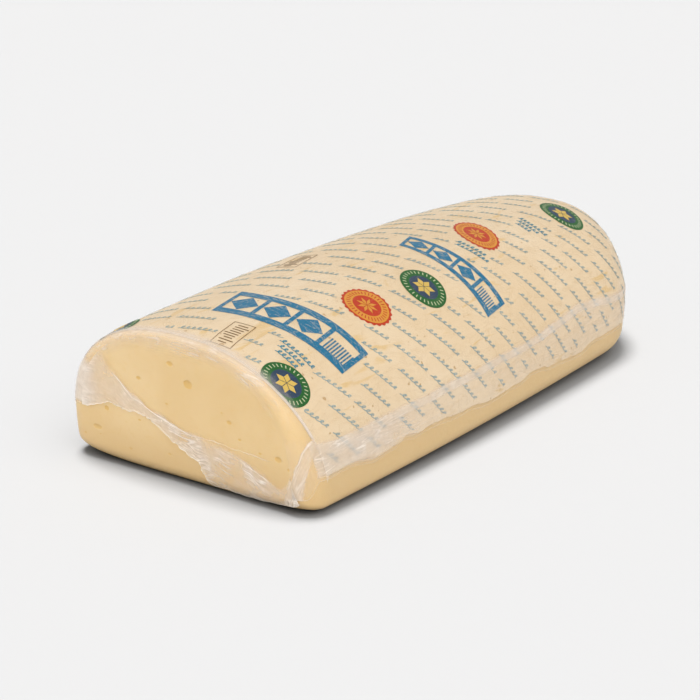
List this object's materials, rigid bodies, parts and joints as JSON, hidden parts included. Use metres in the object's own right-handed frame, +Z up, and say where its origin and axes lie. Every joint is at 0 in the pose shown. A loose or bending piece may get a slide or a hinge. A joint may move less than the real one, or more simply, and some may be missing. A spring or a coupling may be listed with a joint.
{
  "type": "provolone cheese",
  "caption": "Half loaf of provolone cheese with a flat cut face, domed far end, printed casing and clear film gathered along its lower edge.",
  "frame": {"origin": "under the middle of the box round the loaf, at the level of the surface it lies on", "axes": "+Y along the loaf from the cut face to the domed end, +X across it, +Z up"},
  "size_m": [0.155, 0.3428, 0.0823],
  "materials": {
    "cheese": "smooth pale yellow cheese paste with a soft sheen",
    "casing": "thin cream casing, satin, with fields of printed colour",
    "film": "clear glossy film, whitish where it is wrinkled"
  },
  "bodies": {
    "root": {"cheese": "cheese", "casing": "casing", "film": "film"}
  },
  "joints": []
}
